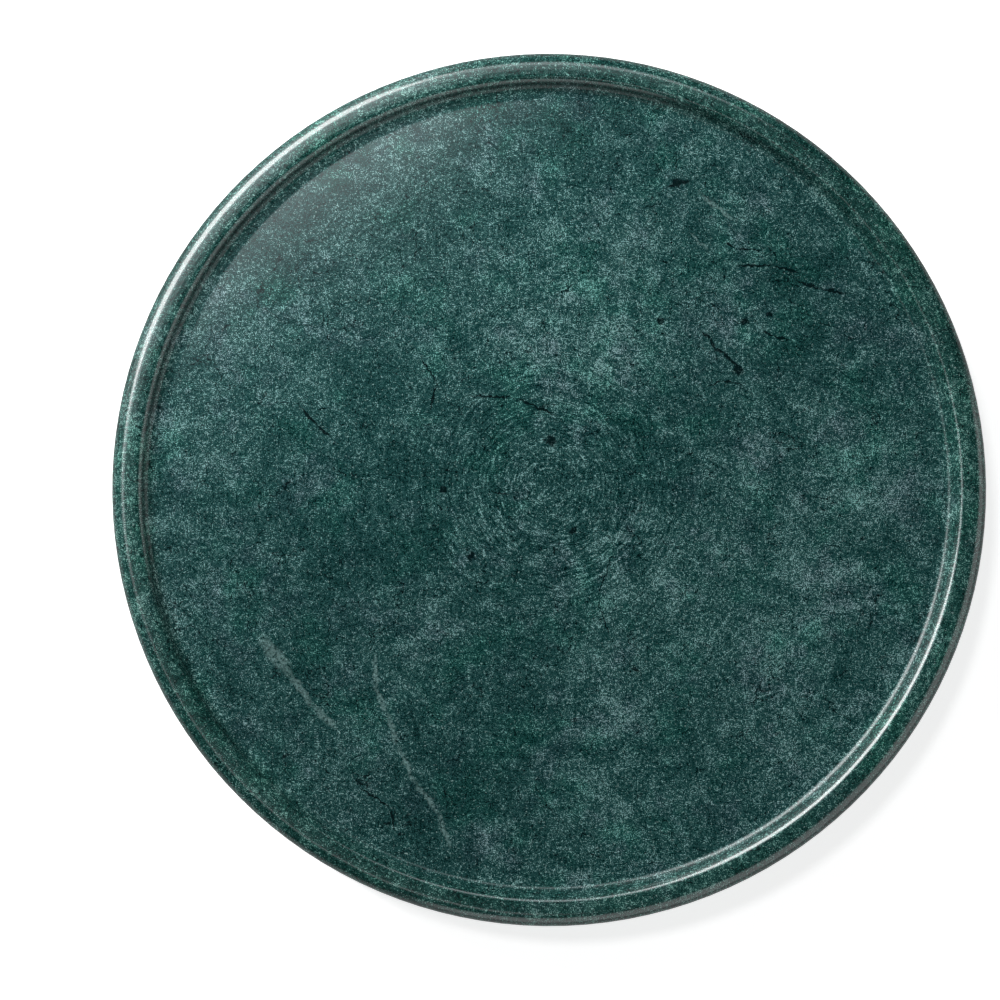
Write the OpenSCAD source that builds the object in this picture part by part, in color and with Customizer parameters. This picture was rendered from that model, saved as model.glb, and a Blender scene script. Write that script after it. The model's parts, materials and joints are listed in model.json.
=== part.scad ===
// Lazy susan turntable: a stone tray with a turned lip, carried on a ball bearing ring
// that is bolted to a smaller stone base on rubber feet.
// Millimetres, +Z up. The origin is on the table, on the axis that the tray turns about.

/* [Tray] */
// Outer diameter of the tray
tray_d = 406; // [340:2:460]
// Thickness of the tray's flat middle
plate_t = 11.5; // [10:0.5:16]
// Height of the lip above the flat middle
lip_h = 6.5; // [6.5:0.25:7.5]
// Rounding of the tray's upper outer edge
tray_top_r = 7; // [4:0.5:7]
// Rounding of the tray's lower outer edge
tray_bottom_r = 4; // [2:0.5:5]

/* [Lip] */
// Width of the lip, from the tray's outer edge to the lip's inner edge
lip_w = 13.6; // [12:0.1:15]
// Radius of the cove at the lip's foot
cove_r = 4.4; // [3:0.1:5]
// Width of the gentle rise towards the cove, measured inwards from the lip's inner edge
rise_w = 7.5; // [7:0.5:10]

/* [Base] */
// Outer diameter of the base
base_d = 236; // [230:2:280]
// Thickness of the base
base_t = 9; // [8:0.5:14]
// Rounding of the base's upper edge
base_top_r = 3; // [1:0.5:3]

/* [Bearing] */
// Diameter of the circle through the balls' centres
pitch_d = 168; // [166:1:170]
// Diameter of a ball
ball_d = 5; // [4:0.5:5]
// Number of balls
ball_count = 24; // [12:1:30]
// Thickness of each bearing ring
ring_t = 8; // [8:0.5:10]
// Width of each bearing ring, from its groove side to its far side
ring_w = 19.4; // [18:0.2:20]
// Height of the inner ring above the outer ring, which keeps the tray clear of the outer one
ring_lift = 1; // [0.8:0.1:1.2]

/* [Fixings] */
// Number of screws in each ring
screw_count = 6; // [3:1:8]
// Diameter of the circle of screws that hold the inner ring to the tray
tray_screw_pcd = 146; // [144:1:148]
// Diameter of the circle of bolts that hold the base to the outer ring
base_bolt_pcd = 190; // [188:1:192]
// Thickness of the gaskets between stone and metal
gasket_t = 1; // [0.5:0.1:1.5]

/* [Feet] */
// Number of rubber feet
foot_count = 6; // [3:1:8]
// Diameter of a foot
foot_d = 18; // [14:1:20]
// Height that a foot stands below the base
foot_proud = 2; // [1:0.5:4]
// Diameter of the circle through the feet's centres
foot_pcd = 204; // [200:2:206]

/* [Hidden] */
$fn = 96;
eps = 0.01;        // how far a cutting shape runs past the face that it cuts
arc_lap = 0.0015;  // how far the arc of a rounded corner laps over the sides that it joins

// Stone shaping, with slopes in degrees
crown_slope = 2;      // the lip's top falls inwards a little
crown_round = 24;     // very soft crest along the lip's top
lip_slope = 68;       // the lip's inner side
lip_round = 4.3;      // rounding at the lip's inner edge
rise_slope = 4;       // the gentle rise before the cove
rise_round = 25;      // very soft start of that rise
base_bottom_r = 1.5;  // rounding of the base's lower edge

// Bearing
pitch_r = pitch_d / 2;
ball_r = ball_d / 2;
groove_r = ball_r + 0.1;     // the groove is a little wider than the ball
ring_gap = 1.2;              // gap between the two rings, where the cage runs
ring_chamfer = 0.5;
cage_t = 0.5;
cage_h = ball_d + 1.6;
window_r = ball_r + 0.15;    // the cage's hole around a ball
filler_r = ball_r + 0.15;    // radius of the plug in the hole that the balls go in by
filler_hole_r = filler_r + 0.05;
filler_angle = 15;           // degrees, midway between a bolt and its neighbour
filler_slot = [1, 1.2];      // width and depth of the plug's screwdriver slot
filler_clear = 0.1;          // room between the plug's inner end and the groove
filler_sunk = 0.3;           // how far the plug's outer end lies inside the ring's face

// M4 fixings
shank_r = 2;
thread_r = 2.05;             // tapped holes and inserts, just clear of the plain shank
clear_r = 2.25;              // a hole that a shank passes through
hex_af = 2.5;                // across the flats of the hexagon sockets
hex_depth = 1.4;
csk_head_r = 4;              // a countersunk head, with 90 degree sides
csk_land = 0.3;              // height of the straight edge of that head
csk_room = 0.08;             // room around that head in its seat
screw_l = 14;                // whole length of a countersunk screw
button_head_r = 3.8;
button_head_h = 2.2;
bolt_l = 12;                 // length of a button head bolt under its head
washer_r = 4.5;
washer_t = 0.8;
bore_depth = 3.2;            // depth of the counterbore for a washer and a bolt head
bore_r = 4.9;
insert_r = 3;
insert_l = 7;
insert_seat_r = 3.05;
insert_seat_depth = 7.6;
tapped_depth = 7;

// Feet
foot_sunk = 1.5;             // height of the foot inside its socket
foot_room = 0.1;             // room around the foot in its socket
foot_round = 0.8;
foot_dimple_r = 5;           // shallow hollow in the middle of the foot's sole
foot_dimple_depth = 0.4;

// Gaskets and inserts
gasket_margin = 1.5;         // a gasket is this much narrower than its ring, on both sides
waist_h = 1;                 // height of the groove round an insert, which the adhesive keys into
waist_depth = 0.4;

// Heights above the table
base_z = foot_proud;
base_top_z = base_z + base_t;
outer_ring_z = base_top_z + gasket_t;
inner_ring_z = outer_ring_z + ring_lift;
tray_z = inner_ring_z + ring_t + gasket_t;
plate_z = tray_z + plate_t;
lip_z = plate_z + lip_h;
ball_z = (outer_ring_z + inner_ring_z + ring_t) / 2;

// Radii
tray_r = tray_d / 2;
base_r = base_d / 2;
outer_ring_ri = pitch_r + ring_gap / 2;
outer_ring_ro = outer_ring_ri + ring_w;
inner_ring_ro = pitch_r - ring_gap / 2;
inner_ring_ri = inner_ring_ro - ring_w;

ball_step = 360 / ball_count;
bolt_start = 180 / screw_count;   // the base's bolts stand midway between its feet

function ball_name(i) = str("ball_", i < 10 ? "0" : "", i);
function foot_name(i) = str("foot_", i);

// ---------------------------------------------------------------- outlines

// Each outline is a list of corners [radius, height, rounding], anticlockwise.

// The lip's inner side, from its crest down to the flat middle
lip_edge_r = tray_r - lip_w;
crest_r = (lip_edge_r + lip_round * tan((lip_slope - crown_slope) / 2) + tray_r - tray_top_r) / 2;
lip_edge_z = lip_z - (crest_r - lip_edge_r) * tan(crown_slope);
rise_start_r = lip_edge_r - rise_w;
lip_foot_r = lip_edge_r
    - (lip_edge_z - plate_z - rise_w * tan(rise_slope)) / (tan(lip_slope) - tan(rise_slope));
lip_foot_z = plate_z + (lip_foot_r - rise_start_r) * tan(rise_slope);

tray_outline = [
    [0, tray_z, 0],
    [tray_r, tray_z, tray_bottom_r],
    [tray_r, lip_z, tray_top_r],
    [crest_r, lip_z, crown_round],
    [lip_edge_r, lip_edge_z, lip_round],
    [lip_foot_r, lip_foot_z, cove_r],
    [rise_start_r, plate_z, rise_round],
    [0, plate_z, 0]
];

base_outline = [
    [0, base_z, 0],
    [base_r, base_z, base_bottom_r],
    [base_r, base_top_z, base_top_r],
    [0, base_top_z, 0]
];

foot_outline = [
    [0, foot_dimple_depth, 0],
    [foot_dimple_r - 1, foot_dimple_depth, 0],
    [foot_dimple_r, 0, 0],
    [foot_d / 2, 0, foot_round],
    [foot_d / 2, foot_proud + foot_sunk, 0],
    [0, foot_proud + foot_sunk, 0]
];

function point(corner) = [corner[0], corner[1]];
function unit(v) = v / norm(v);

// What the rounding of a corner takes off, or fills in, between its two neighbours. It reaches past
// the outline by corner_reach times its size, and its arc crosses the straight sides by arc_lap, so
// that no sliver is left there.
corner_reach = 1.1;
module corner_piece(before, corner, after) {
    tip = point(corner);
    r = corner[2];
    u = unit(point(before) - tip);
    w = unit(point(after) - tip);
    half_angle = acos(u * w) / 2;
    centre = tip + unit(u + w) * r / sin(half_angle);
    reach = r / tan(half_angle);
    difference() {
        polygon([
            for (p = [tip, tip + u * reach, centre, tip + w * reach]) centre + (p - centre) * corner_reach
        ]);
        translate(centre) circle(r = r + arc_lap);
    }
}

// Corner pieces of all the outward corners of an outline, or of all its inward ones.
module corner_pieces(outline, outward) {
    n = len(outline);
    for (i = [0 : n - 1]) {
        before = outline[(i + n - 1) % n];
        corner = outline[i];
        after = outline[(i + 1) % n];
        turn = cross(point(corner) - point(before), point(after) - point(corner));
        if (corner[2] > 0 && outward == (turn > 0)) corner_piece(before, corner, after);
    }
}

module rounded_outline(outline) {
    difference() {
        union() {
            polygon([for (corner = outline) point(corner)]);
            corner_pieces(outline, false);
        }
        corner_pieces(outline, true);
    }
}

// A ring's rectangular section with chamfered corners.
module ring_section(ri, ro, z, h, chamfer) {
    polygon([
        [ri + chamfer, z], [ro - chamfer, z], [ro, z + chamfer], [ro, z + h - chamfer],
        [ro - chamfer, z + h], [ri + chamfer, z + h], [ri, z + h - chamfer], [ri, z + chamfer]
    ]);
}

// ---------------------------------------------------------------- shared shapes

// Copies of the children, evenly round a circle of diameter pcd.
module around(count, pcd, start = 0) {
    for (i = [0 : count - 1])
        rotate(start + i * 360 / count) translate([pcd / 2, 0, 0]) children();
}

module flat_ring(ri, ro, h) {
    difference() {
        cylinder(r = ro, h = h);
        translate([0, 0, -eps]) cylinder(r = ri, h = h + 2 * eps);
    }
}

module hex_socket(depth) {
    cylinder(r = hex_af / sqrt(3), h = depth, $fn = 6);
}

// The ball groove that both rings share.
module groove() {
    rotate_extrude() translate([pitch_r, ball_z]) circle(r = groove_r);
}

// Solid of a 90 degree countersunk head, wide end down, from z = 0. A larger room makes its seat.
module csk_head(room = 0) {
    cylinder(r = csk_head_r + room, h = csk_land);
    translate([0, 0, csk_land])
        cylinder(r1 = csk_head_r + room, r2 = shank_r + room, h = csk_head_r - shank_r);
}

// ---------------------------------------------------------------- tray, turns

module marble_tray() {
    color("#1f4f48")
    difference() {
        rotate_extrude() rounded_outline(tray_outline);
        around(screw_count, tray_screw_pcd)
            translate([0, 0, tray_z - eps]) cylinder(r = insert_seat_r, h = insert_seat_depth + eps);
    }
}

// Brass inserts, each with a waist that the adhesive keys into, set in the tray's blind holes.
module threaded_inserts() {
    color("goldenrod")
    around(screw_count, tray_screw_pcd)
        translate([0, 0, tray_z]) difference() {
            flat_ring(thread_r, insert_r, insert_l);
            translate([0, 0, (insert_l - waist_h) / 2])
                flat_ring(insert_r - waist_depth, insert_r + eps, waist_h);
        }
}

module tray_gasket() {
    color("#2b2b2b")
    translate([0, 0, tray_z - gasket_t])
        difference() {
            flat_ring(inner_ring_ri + gasket_margin, inner_ring_ro - gasket_margin, gasket_t);
            around(screw_count, tray_screw_pcd)
                translate([0, 0, -eps]) cylinder(r = clear_r, h = gasket_t + 2 * eps);
        }
}

module inner_ring() {
    color("silver")
    difference() {
        rotate_extrude()
            ring_section(inner_ring_ri, inner_ring_ro, inner_ring_z, ring_t, ring_chamfer);
        groove();
        around(screw_count, tray_screw_pcd) {
            translate([0, 0, inner_ring_z - eps]) cylinder(r = clear_r, h = ring_t + 2 * eps);
            translate([0, 0, inner_ring_z - eps]) csk_head(csk_room);
        }
    }
}

module tray_screws() {
    color("gainsboro")
    around(screw_count, tray_screw_pcd)
        translate([0, 0, inner_ring_z])
            difference() {
                union() {
                    csk_head();
                    cylinder(r = shank_r, h = screw_l);
                }
                translate([0, 0, -eps]) hex_socket(hex_depth);
            }
}

// ---------------------------------------------------------------- ball cage, which goes half as fast

// A thin band with a round window for each ball.
module ball_cage() {
    color("ivory")
    difference() {
        translate([0, 0, ball_z - cage_h / 2])
            flat_ring(pitch_r - cage_t / 2, pitch_r + cage_t / 2, cage_h);
        around(ball_count, pitch_d)
            translate([0, 0, ball_z]) rotate([0, 90, 0])
                cylinder(r = window_r, h = ball_d, center = true);
    }
}

module ball(i) {
    color("whitesmoke")
    rotate((i - 1) * ball_step) translate([pitch_r, 0, ball_z]) sphere(r = ball_r);
}

// ---------------------------------------------------------------- base, stands still

module outer_ring() {
    color("silver")
    difference() {
        rotate_extrude()
            ring_section(outer_ring_ri, outer_ring_ro, outer_ring_z, ring_t, ring_chamfer);
        groove();
        around(screw_count, base_bolt_pcd, bolt_start)
            translate([0, 0, outer_ring_z - eps]) cylinder(r = thread_r, h = tapped_depth + eps);
        rotate(filler_angle) translate([pitch_r, 0, ball_z])
            rotate([0, 90, 0]) cylinder(r = filler_hole_r, h = ring_w + ring_gap);
    }
}

// A slotted grub screw that closes the hole by which the balls go in.
module filler_plug() {
    plug_start = pitch_r + groove_r + filler_clear;
    plug_l = outer_ring_ro - filler_sunk - plug_start;
    color("dimgray")
    rotate(filler_angle) translate([plug_start, 0, ball_z]) rotate([0, 90, 0])
        difference() {
            cylinder(r = filler_r, h = plug_l);
            translate([-filler_slot[0] / 2, -filler_r - eps, plug_l - filler_slot[1]])
                cube([filler_slot[0], 2 * (filler_r + eps), filler_slot[1] + eps]);
        }
}

module base_gasket() {
    color("#2b2b2b")
    translate([0, 0, base_top_z])
        difference() {
            flat_ring(outer_ring_ri + gasket_margin, outer_ring_ro - gasket_margin, gasket_t);
            around(screw_count, base_bolt_pcd, bolt_start)
                translate([0, 0, -eps]) cylinder(r = clear_r, h = gasket_t + 2 * eps);
        }
}

module base_disc() {
    color("#1f4f48")
    difference() {
        rotate_extrude() rounded_outline(base_outline);
        around(screw_count, base_bolt_pcd, bolt_start) {
            translate([0, 0, base_z - eps]) cylinder(r = clear_r, h = base_t + 2 * eps);
            translate([0, 0, base_z - eps]) cylinder(r = bore_r, h = bore_depth + eps);
        }
        around(foot_count, foot_pcd)
            translate([0, 0, base_z - eps])
                cylinder(r = foot_d / 2 + foot_room, h = foot_sunk + eps);
    }
}

// Domed heads down, shanks up into the outer ring.
module base_bolts() {
    head_z = base_z + bore_depth - washer_t - button_head_h;
    dome_r = (button_head_r ^ 2 + button_head_h ^ 2) / (2 * button_head_h);
    color("gainsboro")
    around(screw_count, base_bolt_pcd, bolt_start)
        translate([0, 0, head_z])
            difference() {
                union() {
                    intersection() {
                        translate([0, 0, dome_r]) sphere(r = dome_r);
                        cylinder(r = button_head_r, h = button_head_h);
                    }
                    cylinder(r = shank_r, h = button_head_h + bolt_l);
                }
                translate([0, 0, -eps]) hex_socket(hex_depth);
            }
}

module bolt_washers() {
    color("lightgray")
    around(screw_count, base_bolt_pcd, bolt_start)
        translate([0, 0, base_z + bore_depth - washer_t]) flat_ring(clear_r, washer_r, washer_t);
}

module foot(i) {
    color("#202020")
    rotate((i - 1) * 360 / foot_count) translate([foot_pcd / 2, 0, 0])
        rotate_extrude() rounded_outline(foot_outline);
}

// ---------------------------------------------------------------- assembly

marble_tray();
threaded_inserts();
tray_gasket();
inner_ring();
tray_screws();
ball_cage();
for (i = [1 : ball_count]) ball(i);
outer_ring();
filler_plug();
base_gasket();
base_disc();
base_bolts();
bolt_washers();
for (i = [1 : foot_count]) foot(i);
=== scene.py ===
"""Looks of a green marble lazy susan: polished stone, turned aluminium bearing rings, steel balls,
zinc plated fasteners and rubber feet, in plain studio light, seen from straight above."""

import json
import math

import bpy
from mathutils import Matrix, Vector


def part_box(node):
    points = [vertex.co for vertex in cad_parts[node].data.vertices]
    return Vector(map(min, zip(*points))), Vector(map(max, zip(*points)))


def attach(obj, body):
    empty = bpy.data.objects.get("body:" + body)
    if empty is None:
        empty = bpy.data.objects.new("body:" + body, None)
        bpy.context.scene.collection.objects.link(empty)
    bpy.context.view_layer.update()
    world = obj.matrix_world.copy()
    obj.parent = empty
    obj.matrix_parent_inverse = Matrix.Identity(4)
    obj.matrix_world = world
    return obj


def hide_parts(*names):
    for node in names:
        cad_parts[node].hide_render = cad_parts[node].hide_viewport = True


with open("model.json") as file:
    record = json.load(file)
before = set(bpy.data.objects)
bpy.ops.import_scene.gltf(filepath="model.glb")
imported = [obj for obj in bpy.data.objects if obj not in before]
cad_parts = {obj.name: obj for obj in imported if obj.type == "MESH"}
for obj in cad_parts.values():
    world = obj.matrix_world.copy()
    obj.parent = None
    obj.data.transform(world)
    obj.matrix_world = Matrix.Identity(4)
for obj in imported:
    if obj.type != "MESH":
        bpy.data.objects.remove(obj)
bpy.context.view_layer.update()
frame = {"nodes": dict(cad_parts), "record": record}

MM = 0.001

# The tray's own sizes, in metres, which everything else is placed from.
tray_low, tray_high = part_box("marble_tray")
TRAY_RADIUS = (tray_high.x - tray_low.x) / 2
TRAY_TOP = tray_high.z
LIP_WIDTH = 13.6 * MM                   # from the outer edge to the lip's inner edge
PLATE_TOP = TRAY_TOP - 6.5 * MM         # the flat middle
RISE_START = TRAY_RADIUS - 21.1 * MM    # where the flat middle ends and a gentle rise begins
COVE_MIDDLE = TRAY_RADIUS - 17.4 * MM   # the middle of the cove at the lip's foot


# ---------------------------------------------------------------- node graph helper


class Graph:
    """A shader node tree, written as calls that take and return sockets."""

    def __init__(self, tree):
        self.tree = tree

    def add(self, kind, **settings):
        made = self.tree.nodes.new(kind)
        for name, value in settings.items():
            setattr(made, name, value)
        return made

    def put(self, value, socket):
        """Link a socket, or set a plain value."""
        if isinstance(value, bpy.types.NodeSocket):
            self.tree.links.new(value, socket)
        else:
            socket.default_value = value

    def math(self, operation, *values):
        made = self.add("ShaderNodeMath", operation=operation)
        for value, socket in zip(values, made.inputs):
            self.put(value, socket)
        return made.outputs[0]

    def vector(self, operation, *values, scale=None):
        made = self.add("ShaderNodeVectorMath", operation=operation)
        for value, socket in zip(values, made.inputs):
            self.put(value, socket)
        if scale is not None:
            self.put(scale, made.inputs["Scale"])
        return made.outputs["Value" if operation in ("LENGTH", "DOT_PRODUCT") else "Vector"]

    def noise(self, at, size, detail=2.0, roughness=0.5, distortion=0.0, colour=False):
        """Noise whose features are about size long, in the same unit as at."""
        made = self.add("ShaderNodeTexNoise")
        self.put(at, made.inputs["Vector"])
        made.inputs["Scale"].default_value = 1 / size
        made.inputs["Detail"].default_value = detail
        made.inputs["Roughness"].default_value = roughness
        made.inputs["Distortion"].default_value = distortion
        return made.outputs["Color" if colour else "Fac"]

    def band(self, value, low, high, out_low=0.0, out_high=1.0):
        """value eased from low..high to out_low..out_high, and held outside."""
        made = self.add("ShaderNodeMapRange", interpolation_type="SMOOTHSTEP")
        for number, socket in zip((value, low, high, out_low, out_high), made.inputs):
            self.put(number, socket)
        return made.outputs["Result"]

    def ramp(self, value, stops):
        """Colour that goes through the stops, which are (place, colour), as value rises."""
        made = self.add("ShaderNodeValToRGB")
        elements = made.color_ramp.elements
        for element, (place, colour) in zip(list(elements) + [None] * len(stops), stops):
            element = element or elements.new(place)
            element.position = place
            element.color = (*colour, 1)
        self.put(value, made.inputs["Fac"])
        return made.outputs["Color"]

    def mix(self, factor, a, b, blend="MIX"):
        """Colour a where factor is 0 and b, or a blended with b, where it is 1."""
        made = self.add("ShaderNodeMix", data_type="RGBA", blend_type=blend)
        colours = [s for s in made.inputs if s.type == "RGBA"]
        self.put(factor, made.inputs["Factor"])
        for value, socket in zip((a, b), colours):
            self.put(value if isinstance(value, bpy.types.NodeSocket) else (*value, 1), socket)
        return next(s for s in made.outputs if s.type == "RGBA")

    def combine(self, x, y, z):
        made = self.add("ShaderNodeCombineXYZ")
        for value, socket in zip((x, y, z), made.inputs):
            self.put(value, socket)
        return made.outputs[0]

    def split(self, value):
        made = self.add("ShaderNodeSeparateXYZ")
        self.put(value, made.inputs[0])
        return made.outputs[:]

    def place_mm(self):
        """Place in the row frame, in millimetres."""
        place = self.add("ShaderNodeTexCoord").outputs["Object"]
        return self.vector("SCALE", place, scale=1000.0)

    def from_axis(self, x, y):
        """Distance from the axis that the tray turns about, in the same unit as x and y."""
        return self.vector("LENGTH", self.combine(x, y, 0.0))

    def wander(self, at, size, reach):
        """Places moved about by up to half of reach, in waves about size long."""
        offset = self.vector("SUBTRACT", self.noise(at, size, detail=3, colour=True), (0.5, 0.5, 0.5))
        return self.vector("ADD", at, self.vector("SCALE", offset, scale=reach))

    def bump(self, height, strength, distance_mm):
        made = self.add("ShaderNodeBump")
        made.inputs["Strength"].default_value = strength
        made.inputs["Distance"].default_value = distance_mm * MM
        self.put(height, made.inputs["Height"])
        return made.outputs["Normal"]


def new_material(name):
    """An empty material, its graph and its shader."""
    material = bpy.data.materials.new(name)
    material.use_nodes = True
    graph = Graph(material.node_tree)
    shader = next(n for n in material.node_tree.nodes if n.type == "BSDF_PRINCIPLED")
    return material, graph, shader


def finish_shader(graph, shader, **inputs):
    """Fill the shader's inputs, named with _ for a space."""
    for name, value in inputs.items():
        graph.put(value, shader.inputs[name.replace("_", " ")])


# ---------------------------------------------------------------- marble

# Lines in the tray's stone, from one point to the next in millimetres: (points, half width).
PALE_VEINS = [
    ([(-132, -72), (-121, -86)], 4.5),
    ([(-121, -86), (-109, -102), (-99, -112)], 2.2),
    ([(-80, -78), (-81, -94), (-75, -105), (-70, -121), (-62, -137), (-51, -151), (-46, -167)], 1.5),
    ([(71, 137), (87, 124)], 1.6),
    ([(66, 118), (74, 110)], 0.8),
]
DARK_CRACKS = [
    ([(56, 140), (66, 143)], 1.4),
    ([(83, 114), (87, 111), (100, 110)], 0.7),
    ([(87, 103), (105, 103), (116, 100)], 1.0),
    ([(114, 96), (127, 92), (139, 90)], 0.9),
    ([(71, 72), (75, 69), (77, 64), (82, 62), (84, 59), (89, 55)], 1.0),
    ([(74, 46), (80, 49), (86, 48), (90, 47)], 0.6),
    ([(100, 72), (104, 70), (112, 68)], 0.8),
    ([(-88, -139), (-73, -149), (-72, -159)], 0.7),
    ([(-37, 42), (-16, 41), (5, 32)], 0.8),
    ([(-27, -3), (-18, -4)], 0.7),
    ([(-116, 37), (-108, 28), (-102, 23)], 1.0),
    ([(30, -30), (22, -52), (28, -70)], 0.5),
    ([(-60, 60), (-52, 48), (-56, 34)], 0.6),
]
DARK_SPOTS = [
    ((88, 54), 3.5), ((91, 77), 2.5), ((103, 80), 2.0), ((52, 77), 2.5), ((1, 21), 3.5),
    ((-49, -2), 2.5), ((11, -21), 2.5), ((-36, -33), 2.5), ((60, 142), 3.0),
]

BLOB_DEPTH = 25   # how far down into the stone a blob reaches, in millimetres

# Colours of the stone, from its darkest crystals to its lightest, and of what lies in it
STONE_TONES = [
    (0.02, (0.0003, 0.0098, 0.0098)),
    (0.12, (0.0012, 0.0178, 0.0172)),
    (0.28, (0.0042, 0.0290, 0.0285)),
    (0.42, (0.0078, 0.0412, 0.0402)),
    (0.56, (0.0127, 0.0572, 0.0557)),
    (0.68, (0.0248, 0.0835, 0.0812)),
    (0.79, (0.0720, 0.1700, 0.1660)),
    (0.88, (0.2500, 0.4200, 0.4100)),
]
SPECK_COLOUR = (0.36, 0.54, 0.52)
CRACK_COLOUR = (0.0005, 0.006, 0.007)
VEIN_COLOUR = (0.20, 0.32, 0.31)

# What the stone's colour is multiplied by in greyer patches, in greener patches and on the lip
GREYER = (1.0, 0.86, 0.93)
GREENER = (0.76, 1.04, 0.955)
LIP_TINT = (0.82, 0.97, 0.88)

# Nets of hairline cracks: (cell size in millimetres, crack width in cells, how rare the cracked zones are)
HAIRLINES = [(26, 0.018, 0.54), (13, 0.030, 0.55), (7, 0.045, 0.57)]


def blob(graph, at, middle, half_sizes, angle=0.0):
    """An ellipse on the tray's face, 1 in its middle and 0 at its edge and outside."""
    local = graph.add("ShaderNodeMapping", vector_type="TEXTURE")
    graph.put(at, local.inputs["Vector"])
    local.inputs["Location"].default_value = (*middle, PLATE_TOP / MM)
    local.inputs["Rotation"].default_value = (0, 0, angle)
    local.inputs["Scale"].default_value = (*half_sizes, BLOB_DEPTH)
    fade = graph.add("ShaderNodeTexGradient", gradient_type="SPHERICAL")
    graph.put(local.outputs["Vector"], fade.inputs["Vector"])
    return fade.outputs["Fac"]


def lines_mask(graph, at, lines):
    """1 in the middle of the lines and 0 away from them. Every straight stretch is a long thin ellipse."""
    mask = None
    for points, half_width in lines:
        for start, end in zip(points, points[1:]):
            along = Vector(end) - Vector(start)
            middle = (Vector(end) + Vector(start)) / 2
            half_length = along.length * 0.6 + half_width
            one = blob(graph, at, middle, (half_length, half_width), math.atan2(along.y, along.x))
            mask = one if mask is None else graph.math("MAXIMUM", mask, one)
    return mask


def polish_arcs(graph, x, y, from_axis):
    """Faint arcs left by polishing, strongest near the axis, as a value that lies around 0.5."""
    turns = 4.0   # the higher, the shorter the arcs
    around_x = graph.math("MULTIPLY", graph.math("DIVIDE", x, from_axis), turns)
    around_y = graph.math("MULTIPLY", graph.math("DIVIDE", y, from_axis), turns)
    arcs = graph.noise(graph.combine(around_x, around_y, from_axis), 1.0, detail=2, roughness=0.6)
    near_axis = graph.band(from_axis, 25.0, 95.0, 1.0, 0.15)
    return graph.math("MULTIPLY_ADD", graph.math("SUBTRACT", arcs, 0.5), near_axis, 0.5)


def stone_tone(graph, at, crystals, arcs):
    """Lightness of the stone: crystals of half a millimetre and more, clots, clouds and polish arcs."""
    layers = [
        (graph.noise(at, 0.5, detail=1, roughness=0.6), 1.8),
        (crystals, 1.05),
        (graph.noise(at, 5.5, detail=4, roughness=0.6, distortion=1.6), 0.62),
        (graph.noise(at, 19, detail=4, roughness=0.6, distortion=1.6), 0.68),
        (graph.noise(at, 80, detail=2, roughness=0.5), 0.45),
        (arcs, 1.0),
    ]
    tone = 0.5
    for layer, strength in layers:
        tone = graph.math("MULTIPLY_ADD", graph.math("SUBTRACT", layer, 0.5), strength, tone)
    return tone


def stone_colour(graph, at, tone, on_lip):
    """The stone without cracks and veins, with greyer and greener patches and a few bright specks."""
    colour = graph.ramp(tone, STONE_TONES)
    grey_patch = graph.band(graph.noise(at, 20, detail=4, roughness=0.65), 0.50, 0.68)
    colour = graph.mix(grey_patch, colour, GREYER, "MULTIPLY")
    elsewhere = graph.vector("ADD", at, (300.0, 0.0, 0.0))
    green_patch = graph.band(graph.noise(elsewhere, 24, detail=4, roughness=0.65), 0.50, 0.68)
    colour = graph.mix(green_patch, colour, GREENER, "MULTIPLY")
    colour = graph.mix(on_lip, colour, LIP_TINT, "MULTIPLY")
    speck = graph.band(graph.noise(elsewhere, 0.9, detail=1), 0.66, 0.80)
    return graph.mix(graph.math("MULTIPLY", speck, 0.6), colour, SPECK_COLOUR)


def hairline_cracks(graph, at):
    """1 on thin, broken cracks, which come in a few zones only."""
    crack = 0.0
    for size, thickness, rarity in HAIRLINES:
        cells = graph.add("ShaderNodeTexVoronoi", feature="DISTANCE_TO_EDGE")
        graph.put(graph.wander(at, size / 3, size * 0.6), cells.inputs["Vector"])
        cells.inputs["Scale"].default_value = 1 / size
        hairline = graph.band(cells.outputs["Distance"], 0.0, thickness, 1.0, 0.0)
        zone = graph.band(graph.noise(at, 0.85 * size, detail=2), rarity, rarity + 0.07)
        crack = graph.math("MAXIMUM", crack, graph.math("MULTIPLY", hairline, zone))
    broken = graph.band(graph.noise(at, 2.0, detail=3), 0.36, 0.52)
    return graph.math("MULTIPLY", crack, broken)


def placed_cracks(graph, at):
    """1 on the tray's own longer cracks and dark spots."""
    beside = graph.wander(at, 2.5, 3.5)
    placed = lines_mask(graph, beside, DARK_CRACKS)
    for middle, radius in DARK_SPOTS:
        placed = graph.math("MAXIMUM", placed, blob(graph, beside, middle, (radius, radius)))
    return graph.band(placed, 0.05, 0.55)


def placed_veins(graph, at, crystals):
    """1 on the tray's own pale veins, between the darker crystals."""
    vein = graph.band(lines_mask(graph, graph.wander(at, 4.0, 5.0), PALE_VEINS), 0.0, 0.7)
    return graph.math("MULTIPLY", vein, graph.band(crystals, 0.30, 0.60))


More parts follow.
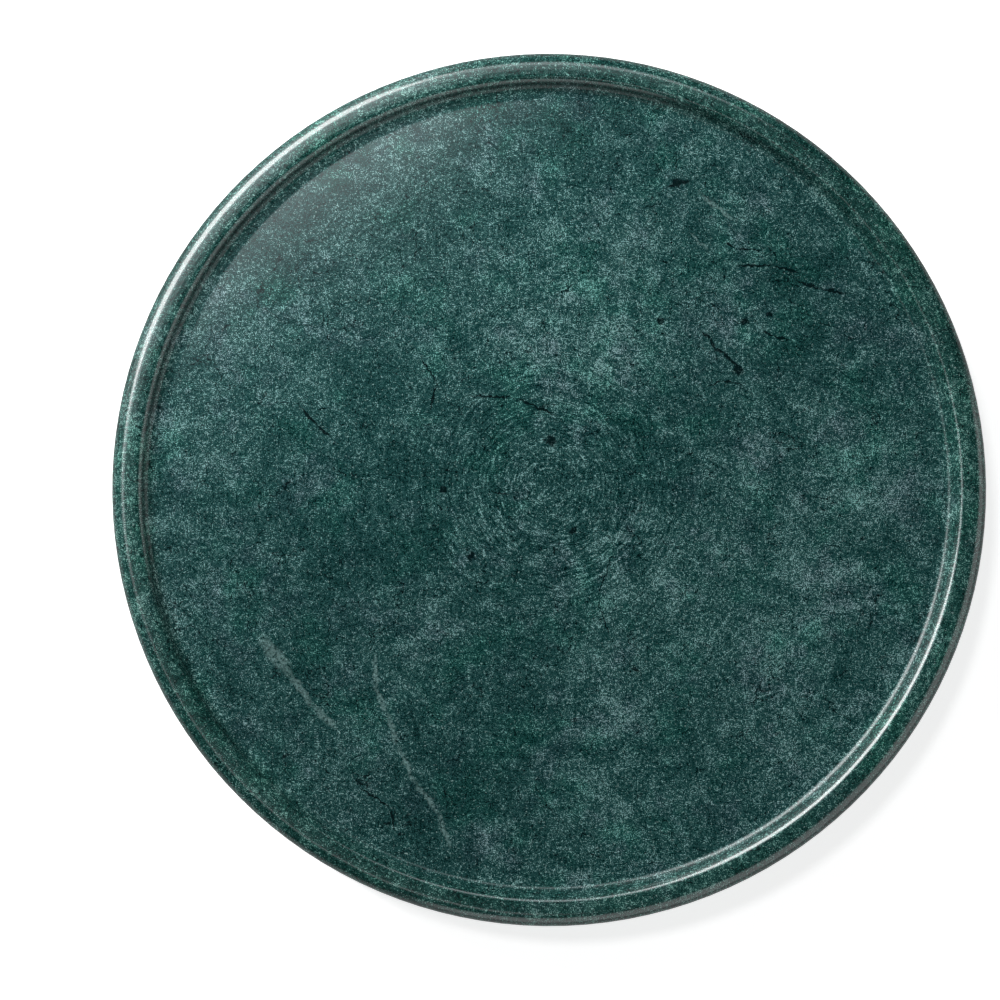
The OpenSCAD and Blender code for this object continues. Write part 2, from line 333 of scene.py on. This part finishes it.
def marble(name, with_tray_figure):
    """Polished dark green stone: fine crystals, cloudy tones, a few cracks and pale veins."""
    material, graph, shader = new_material(name)
    at = graph.place_mm()
    x, y, _ = graph.split(at)
    from_axis = graph.from_axis(x, y)
    on_lip = graph.band(from_axis, TRAY_RADIUS / MM - 21, TRAY_RADIUS / MM - 12)   # 0 on the flat middle
    crystals = graph.noise(at, 1.4, detail=2, roughness=0.6)

    tone = stone_tone(graph, at, crystals, polish_arcs(graph, x, y, from_axis))
    colour = stone_colour(graph, at, tone, on_lip)
    crack = hairline_cracks(graph, at)
    if with_tray_figure:
        crack = graph.math("MAXIMUM", crack, placed_cracks(graph, at))
    colour = graph.mix(graph.math("MULTIPLY", crack, 0.92), colour, CRACK_COLOUR)
    if with_tray_figure:
        vein = placed_veins(graph, at, crystals)
        colour = graph.mix(graph.math("MULTIPLY", vein, 0.5), colour, VEIN_COLOUR)

    # Fine turning marks on the lip
    rings = graph.noise(graph.combine(0.0, 0.0, from_axis), 0.45, detail=2, roughness=0.7)
    height = graph.math("MULTIPLY_ADD", crystals, 0.2, graph.math("MULTIPLY", rings, on_lip))

    # A slightly duller lip, and a duller cove, which a polishing pad hardly reaches
    from_cove = graph.math("ABSOLUTE", graph.math("SUBTRACT", from_axis, COVE_MIDDLE / MM))
    in_cove = graph.band(from_cove, 1.5, 4.5, 1.0, 0.0)
    roughness = graph.math("MULTIPLY_ADD", on_lip, 0.06, 0.07)
    roughness = graph.math("MULTIPLY_ADD", in_cove, 0.08, roughness)
    roughness = graph.math("MULTIPLY_ADD", crystals, 0.10, roughness)
    specular = graph.math("MULTIPLY_ADD", in_cove, -0.24, 0.5)
    finish_shader(graph, shader, Base_Color=colour, Roughness=roughness, IOR=1.56,
                  Specular_IOR_Level=specular, Normal=graph.bump(height, 0.35, 0.05))
    return material


# ---------------------------------------------------------------- metals, plastic, rubber


def turned_metal(name, colour, roughness):
    """Metal turned on a lathe: fine rings round the axis, and slight colour change."""
    material, graph, shader = new_material(name)
    at = graph.place_mm()
    x, y, z = graph.split(at)
    grooves = graph.noise(graph.combine(graph.from_axis(x, y), z, 0.0), 0.16, detail=3, roughness=0.7)
    stain = graph.noise(at, 22, detail=4)
    tint = graph.mix(stain, tuple(c * 0.86 for c in colour), colour)
    rough = graph.math("MULTIPLY_ADD", stain, 0.18, roughness - 0.09)
    finish_shader(graph, shader, Base_Color=tint, Metallic=1.0, Roughness=rough,
                  Normal=graph.bump(grooves, 0.35, 0.03))
    return material


def plated_metal(name, colour, roughness, speck_mm, bump_mm):
    """Plated or polished metal: small specks in the finish, and a faint uneven skin."""
    material, graph, shader = new_material(name)
    at = graph.place_mm()
    specks = graph.noise(at, speck_mm, detail=3, roughness=0.6)
    stain = graph.noise(at, 6, detail=3)
    tint = graph.mix(stain, tuple(c * 0.82 for c in colour), colour)
    rough = graph.math("MULTIPLY_ADD", specks, 0.2, roughness - 0.1)
    finish_shader(graph, shader, Base_Color=tint, Metallic=1.0, Roughness=rough,
                  Normal=graph.bump(specks, 0.3, bump_mm))
    return material


def moulded(name, colour, roughness, grain_mm, bump_mm):
    """Plastic or rubber with a moulded grain and a little dust."""
    material, graph, shader = new_material(name)
    at = graph.place_mm()
    grain = graph.noise(at, grain_mm, detail=3, roughness=0.6)
    dust = graph.band(graph.noise(at, 5, detail=4), 0.45, 0.75)
    tint = graph.mix(graph.math("MULTIPLY", dust, 0.12), colour, tuple(0.5 * c + 0.18 for c in colour))
    tint = graph.mix(grain, tint, tuple(c * 0.9 for c in colour))
    rough = graph.math("MULTIPLY_ADD", grain, 0.2, roughness - 0.1)
    finish_shader(graph, shader, Base_Color=tint, Roughness=rough, Normal=graph.bump(grain, 0.5, bump_mm))
    return material


def give_materials():
    """A material for every piece, by its slot in the record. The two stone pieces have their own."""
    by_slot = {
        "turned_aluminium": turned_metal("turned_aluminium", (0.86, 0.87, 0.88), 0.30),
        "ball_steel": plated_metal("ball_steel", (0.80, 0.80, 0.82), 0.12, 0.6, 0.002),
        "zinc_steel": plated_metal("zinc_steel", (0.72, 0.74, 0.76), 0.34, 0.35, 0.01),
        "brass": plated_metal("brass", (0.83, 0.66, 0.32), 0.30, 0.4, 0.01),
        "cage_plastic": moulded("cage_plastic", (0.80, 0.77, 0.68), 0.48, 0.5, 0.02),
        "gasket_rubber": moulded("gasket_rubber", (0.025, 0.025, 0.027), 0.75, 0.35, 0.03),
        "foot_rubber": moulded("foot_rubber", (0.016, 0.016, 0.017), 0.62, 0.3, 0.03),
    }
    by_node = {
        "marble_tray": marble("green_marble_tray", with_tray_figure=True),
        "base_disc": marble("green_marble_base", with_tray_figure=False),
    }
    for part in frame["record"]["subparts"]:
        mesh = frame["nodes"][part["node"]].data
        material = by_node.get(part["node"]) or by_slot[part["material_slot"]]
        mesh.materials.clear()
        mesh.materials.append(material)


# ---------------------------------------------------------------- the tray's smooth surface

HAIR = 0.01 * MM                   # how close two measures are that are meant to be the same
LARGEST_TURN = math.radians(2.5)   # between neighbouring steps of a rounding


def slope(degrees):
    return math.tan(math.radians(degrees))


def tray_corners():
    """Corners of the tray's outline, from its underside out, up and over the lip to the flat middle:
    (radius, height, rounding). These are the CAD tray's own."""
    crown, wall, rise = 2, 68, 4   # slopes of the lip's top, of its inner side and of the rise before it
    lip_edge = TRAY_RADIUS - LIP_WIDTH
    lip_round = 4.3 * MM
    top_round = 7 * MM
    crest = (lip_edge + lip_round * slope((wall - crown) / 2) + TRAY_RADIUS - top_round) / 2
    lip_edge_height = TRAY_TOP - (crest - lip_edge) * slope(crown)
    wall_height = lip_edge_height - PLATE_TOP - (lip_edge - RISE_START) * slope(rise)
    lip_foot = lip_edge - wall_height / (slope(wall) - slope(rise))
    return [
        (0, tray_low.z, 0),
        (TRAY_RADIUS, tray_low.z, 4 * MM),
        (TRAY_RADIUS, TRAY_TOP, top_round),
        (crest, TRAY_TOP, 24 * MM),
        (lip_edge, lip_edge_height, lip_round),
        (lip_foot, PLATE_TOP + (lip_foot - RISE_START) * slope(rise), 4.4 * MM),
        (RISE_START, PLATE_TOP, 25 * MM),
        (0, PLATE_TOP, 0),
    ]


def rounded(corners, largest_turn):
    """Points along a line with rounded corners: (radius, height, normal's outward part, upward part)."""
    points = []
    for before, corner, after in zip(corners, corners[1:], corners[2:]):
        tip = Vector(corner[:2])
        arriving = (tip - Vector(before[:2])).normalized()
        leaving = (Vector(after[:2]) - tip).normalized()
        turn = arriving.angle_signed(leaving)
        reach = corner[2] * math.tan(abs(turn) / 2)
        side = -1 if turn > 0 else 1
        inward = Vector((-arriving.y, arriving.x)) * side
        centre = tip - arriving * reach + inward * corner[2]
        steps = max(1, math.ceil(abs(turn) / largest_turn))
        for step in range(steps + 1):
            angle = -turn * step / steps
            heading = Vector((
                arriving.x * math.cos(angle) - arriving.y * math.sin(angle),
                arriving.x * math.sin(angle) + arriving.y * math.cos(angle),
            ))
            normal = Vector((heading.y, -heading.x))
            place = centre + normal * corner[2] * side
            points.append((place.x, place.y, normal.x, normal.y))
    return points


def from_middle(place):
    return math.hypot(place[0], place[1])


def copied_underside(mesh):
    """The flat underside and the insert pockets of the CAD tray, up to the start of its lower rounding:
    places, faces, a normal for each face's corners, and the radius that the faces end at."""
    places = []
    faces = []
    normals = []
    known = {}
    edge_radius = max(from_middle(v.co) for v in mesh.vertices if v.co.z < tray_low.z + HAIR)
    for face in mesh.polygons:
        corners = [mesh.vertices[i].co for i in face.vertices]
        if max(c.z for c in corners) > PLATE_TOP - MM:
            continue
        if max(from_middle(c) for c in corners) > edge_radius + HAIR:
            continue
        ids = []
        for place, corner in zip(corners, face.loop_indices):
            key = tuple(round(v, 7) for v in place)
            if key not in known:
                known[key] = len(places)
                places.append(tuple(place))
            ids.append(known[key])
            normals.append(tuple(mesh.corner_normals[corner].vector))
        faces.append(ids)
    return places, faces, normals, edge_radius


def polished_tray(cad):
    """The tray on the CAD tray's own outline, in finer steps, so that the polish reflects smoothly. Its
    underside, with the insert pockets, is the CAD tray's."""
    places, faces, normals, edge_radius = copied_underside(cad.data)
    edge = [i for i, place in enumerate(places) if abs(from_middle(place) - edge_radius) < HAIR]
    edge.sort(key=lambda i: math.atan2(places[i][1], places[i][0]))
    angles = [math.atan2(places[i][1], places[i][0]) for i in edge]
    around = len(angles)

    # Rings of places, from the underside's edge over the lip to the flat middle
    rows = [row for row in rounded(tray_corners(), LARGEST_TURN) if row[0] > 0]
    rows = [row for row in rows if row[1] > PLATE_TOP - MM or row[0] > edge_radius + 2 * HAIR]
    rows.insert(0, (edge_radius, tray_low.z, 0.0, -1.0))
    ids = [edge]
    for radius, height, _, _ in rows[1:]:
        ids.append(list(range(len(places), len(places) + around)))
        places += [(radius * math.cos(a), radius * math.sin(a), height) for a in angles]
    top = len(places)
    places.append((0.0, 0.0, PLATE_TOP))

    def normal(row, at):
        return (row[2] * math.cos(angles[at]), row[2] * math.sin(angles[at]), row[3])

    for lower, upper, low_ids, high_ids in zip(rows, rows[1:], ids, ids[1:]):
        for at in range(around):
            after = (at + 1) % around
            faces.append([low_ids[at], low_ids[after], high_ids[after], high_ids[at]])
            normals += [normal(lower, at), normal(lower, after), normal(upper, after), normal(upper, at)]
    for at in range(around):
        faces.append([ids[-1][at], ids[-1][(at + 1) % around], top])
        normals += [(0.0, 0.0, 1.0)] * 3

    made = bpy.data.meshes.new("marble_tray_polished")
    made.from_pydata(places, [], faces)
    made.shade_smooth()
    made.normals_split_custom_set(normals)
    made.materials.append(cad.data.materials[0])
    tray = bpy.data.objects.new("marble_tray_polished", made)
    bpy.context.scene.collection.objects.link(tray)
    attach(tray, "tray")
    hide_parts("marble_tray")


# ---------------------------------------------------------------- studio


def toward(azimuth, zenith):
    """Unit vector, with the azimuth from +X towards +Y and the zenith angle from straight up."""
    a = math.radians(azimuth)
    t = math.radians(zenith)
    return Vector((math.cos(a) * math.sin(t), math.sin(a) * math.sin(t), math.cos(t)))


UP = Vector((0, 0, 1))
LIGHT_SIDE = 134       # azimuth that the main light comes from: upper left, seen from above
CEILING_SIDE = 125     # azimuth that the light ceiling and the near fill lie towards
CEILING_HEIGHT = 1.7
CEILING_PANELS = 6
WORLD_LIGHT = 0.12
FLOOR_GLOW = 0.77      # turns the floor white where the overhead light reaches it, but not in its shadow


def lamp(name, light, place, rotation):
    """An object for a light, which the camera doesn't see."""
    made = bpy.data.objects.new(name, light)
    bpy.context.scene.collection.objects.link(made)
    made.location = place
    made.rotation_euler = rotation
    made.visible_camera = False
    return made


def panel(name, azimuth, place, faces, width, height, radiance, colour=(1, 1, 1)):
    """A flat soft light that shines along faces, with its width level and square to the azimuth. It shows
    in the polish only: the suns, the fill and the world brighten the stone itself."""
    light = bpy.data.lights.new(name, "AREA")
    light.shape = "RECTANGLE"
    light.size = width
    light.size_y = height
    light.energy = radiance * math.pi * width * height
    light.color = colour
    level = toward(azimuth + 90, 90)
    back = -faces.normalized()
    made = lamp(name, light, place, Matrix((level, back.cross(level), back)).transposed().to_euler())
    made.visible_diffuse = False


def soft_sun(name, comes_from, strength, width):
    """Even light from one side, width degrees across. The polish doesn't show it."""
    sun = bpy.data.lights.new(name, "SUN")
    sun.energy = strength * math.pi
    sun.angle = math.radians(width)
    made = lamp(name, sun, (0, 0, 1), comes_from.to_track_quat("Z", "Y").to_euler())
    made.visible_glossy = False


def make_cards():
    """What the polish shows round about: the softbox, and pale cards on the sides and below."""
    key = toward(LIGHT_SIDE, 47)
    panel("key_softbox", LIGHT_SIDE, key * 3.0, -key, width=2.25, height=1.65, radiance=16.0)
    far = toward(LIGHT_SIDE + 180, 90)
    panel("far_card", LIGHT_SIDE, far * 1.6 + UP * 0.8, -far, width=5.6, height=1.6, radiance=1.6)
    near = toward(LIGHT_SIDE, 90)
    panel("near_card", LIGHT_SIDE, near * 1.8 + UP * 0.45, -near, width=2.4, height=0.9, radiance=2.0)
    side = toward(LIGHT_SIDE + 90, 90)
    place = side * 0.66 + UP * CEILING_HEIGHT
    panel("side_strip", LIGHT_SIDE + 90, place, -UP, width=1.4, height=0.27, radiance=1.8)
    panel("floor_card", LIGHT_SIDE, UP * 0.5 * MM, UP, width=4.0, height=4.0, radiance=0.45)


def make_ceiling():
    """Overlapping panels overhead, on the light's side, so that their near edge fades in."""
    away = toward(CEILING_SIDE, 90)
    far_edge = 1.3
    for number in range(CEILING_PANELS):
        near_edge = 0.45 + 0.02 * number
        place = away * (near_edge + far_edge) / 2 + UP * (CEILING_HEIGHT + 0.01 * number)
        panel(f"ceiling_panel_{number}", CEILING_SIDE, place, -UP, width=2.2, height=far_edge - near_edge,
              radiance=3.8 / CEILING_PANELS, colour=(0.93, 1.0, 1.02))


def make_near_fill():
    """Broad light from the light's side, strongest on that side of the tray. The polish doesn't show it."""
    fill = bpy.data.lights.new("near_fill", "AREA")
    fill.size = 0.3
    fill.energy = 0.93
    place = toward(CEILING_SIDE, 90) * 0.33 + UP * (PLATE_TOP + 0.2)
    made = lamp("near_fill", fill, place, (0, 0, 0))
    made.visible_glossy = False


def make_lights():
    make_cards()
    make_ceiling()
    soft_sun("side_light", toward(LIGHT_SIDE, 58), strength=0.92, width=20)
    soft_sun("overhead_light", toward(LIGHT_SIDE, 26), strength=0.20, width=8)
    make_near_fill()


def make_world():
    """Even light from all round, which the polish doesn't show."""
    world = bpy.data.worlds.new("studio")
    bpy.context.scene.world = world
    world.use_nodes = True
    background = next(n for n in world.node_tree.nodes if n.type == "BACKGROUND")
    background.inputs["Color"].default_value = (1, 1, 1, 1)
    background.inputs["Strength"].default_value = WORLD_LIGHT
    world.cycles_visibility.glossy = False


def make_floor():
    """A plain pale floor. In the polish the floor card stands in for it."""
    material, graph, shader = new_material("floor")
    grain = graph.noise(graph.place_mm(), 40, detail=2)
    shade = graph.mix(grain, (0.79, 0.79, 0.79), (0.81, 0.81, 0.81))
    finish_shader(graph, shader, Base_Color=shade, Roughness=0.9)
    shader.inputs["Specular IOR Level"].default_value = 0.0
    shader.inputs["Emission Color"].default_value = (1, 1, 1, 1)
    shader.inputs["Emission Strength"].default_value = FLOOR_GLOW
    reach = 60 * TRAY_RADIUS
    mesh = bpy.data.meshes.new("floor")
    corners = [(-reach, -reach, 0), (reach, -reach, 0), (reach, reach, 0), (-reach, reach, 0)]
    mesh.from_pydata(corners, [], [(0, 1, 2, 3)])
    mesh.materials.append(material)
    floor = bpy.data.objects.new("floor", mesh)
    bpy.context.scene.collection.objects.link(floor)
    floor.visible_glossy = False


def make_camera():
    """From above, leaning a few degrees towards the near side, with the tray right of the middle."""
    view_width = 2 * TRAY_RADIUS / 0.8740   # the tray fills this share of the picture's width
    lean = math.radians(3)
    camera = bpy.data.cameras.new("camera")
    camera.lens = 85
    camera.sensor_width = 36
    distance = view_width * camera.lens / camera.sensor_width
    upward = Vector((0, math.cos(lean), math.sin(lean)))
    backward = Vector((0, -math.sin(lean), math.cos(lean)))
    sideways = Vector((1, 0, 0))
    aim = UP * PLATE_TOP - (sideways * 0.0491 + upward * 0.0142) * view_width
    holder = bpy.data.objects.new("camera", camera)
    bpy.context.scene.collection.objects.link(holder)
    holder.location = aim + backward * distance
    holder.rotation_euler = (lean, 0, 0)
    bpy.context.scene.camera = holder


give_materials()
polished_tray(frame["nodes"]["marble_tray"])
make_lights()
make_world()
make_floor()
make_camera()
bpy.context.scene.view_settings.view_transform = "Standard"
